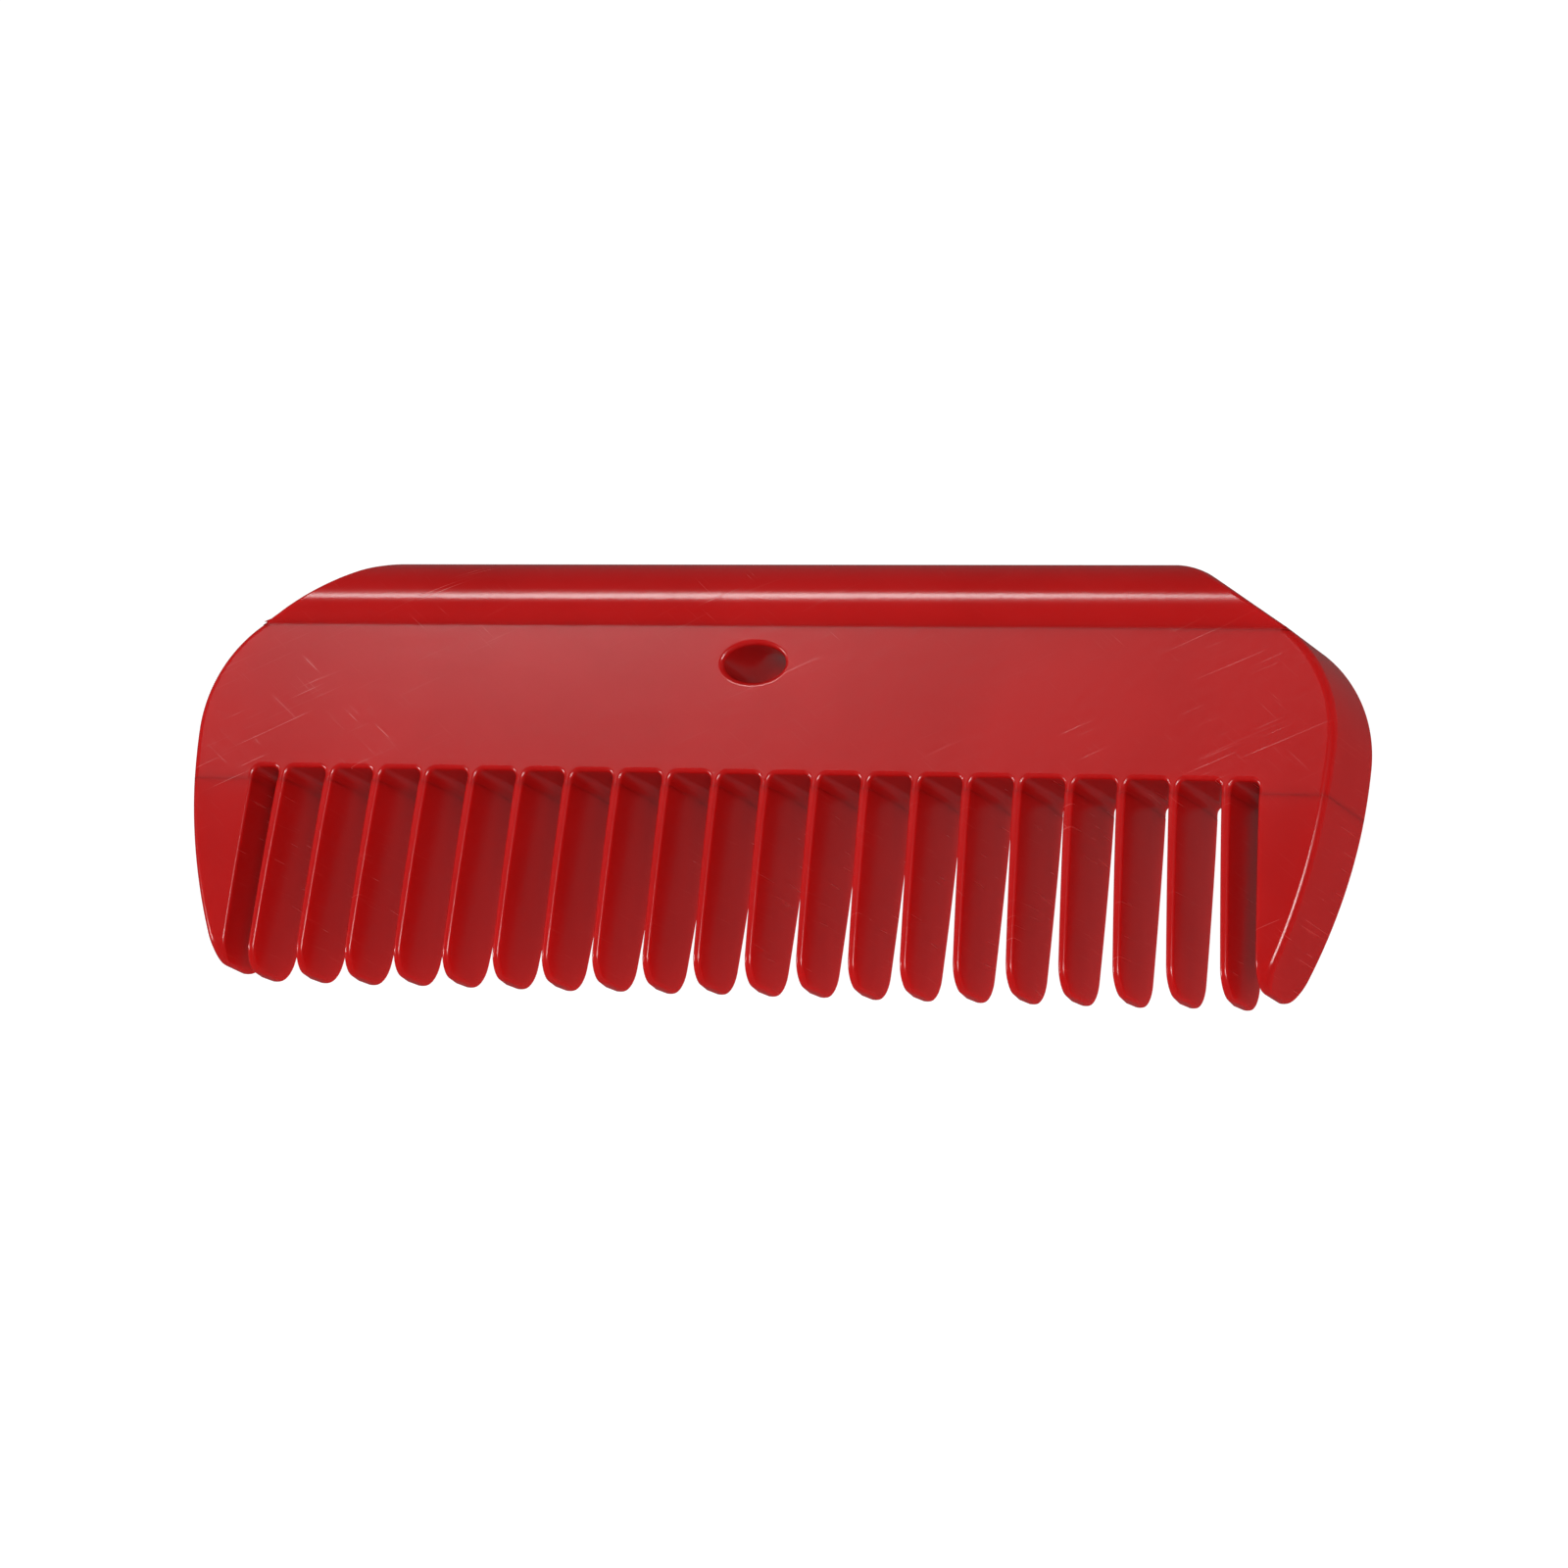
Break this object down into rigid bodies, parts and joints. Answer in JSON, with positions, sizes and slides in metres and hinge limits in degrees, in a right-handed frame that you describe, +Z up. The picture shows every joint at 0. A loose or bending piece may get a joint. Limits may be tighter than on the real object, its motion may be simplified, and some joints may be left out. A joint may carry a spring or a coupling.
{
  "type": "moulded mane comb",
  "caption": "One-piece moulded comb with a thick rounded grip rail, an oval hanging hole, a row of straight fin teeth and curved end guards.",
  "frame": {"origin": "centre of the comb's box in X and Y, on the surface that its back lies on", "axes": "+X along the comb to the right seen from the front, +Y from the tooth tips to the grip rail, +Z up out of the front face"},
  "size_m": [0.125, 0.0436, 0.0124],
  "materials": {
    "comb_red": "satin"
  },
  "bodies": {
    "root": {"comb_plate": "comb_red", "grip_rail": "comb_red", "left_end_guard": "comb_red", "right_end_guard": "comb_red", "tooth_01": "comb_red", "tooth_02": "comb_red", "tooth_03": "comb_red", "tooth_04": "comb_red", "tooth_05": "comb_red", "tooth_06": "comb_red", "tooth_07": "comb_red", "tooth_08": "comb_red", "tooth_09": "comb_red", "tooth_10": "comb_red", "tooth_11": "comb_red", "tooth_12": "comb_red", "tooth_13": "comb_red", "tooth_14": "comb_red", "tooth_15": "comb_red", "tooth_16": "comb_red", "tooth_17": "comb_red", "tooth_18": "comb_red", "tooth_19": "comb_red", "tooth_20": "comb_red"}
  },
  "joints": []
}
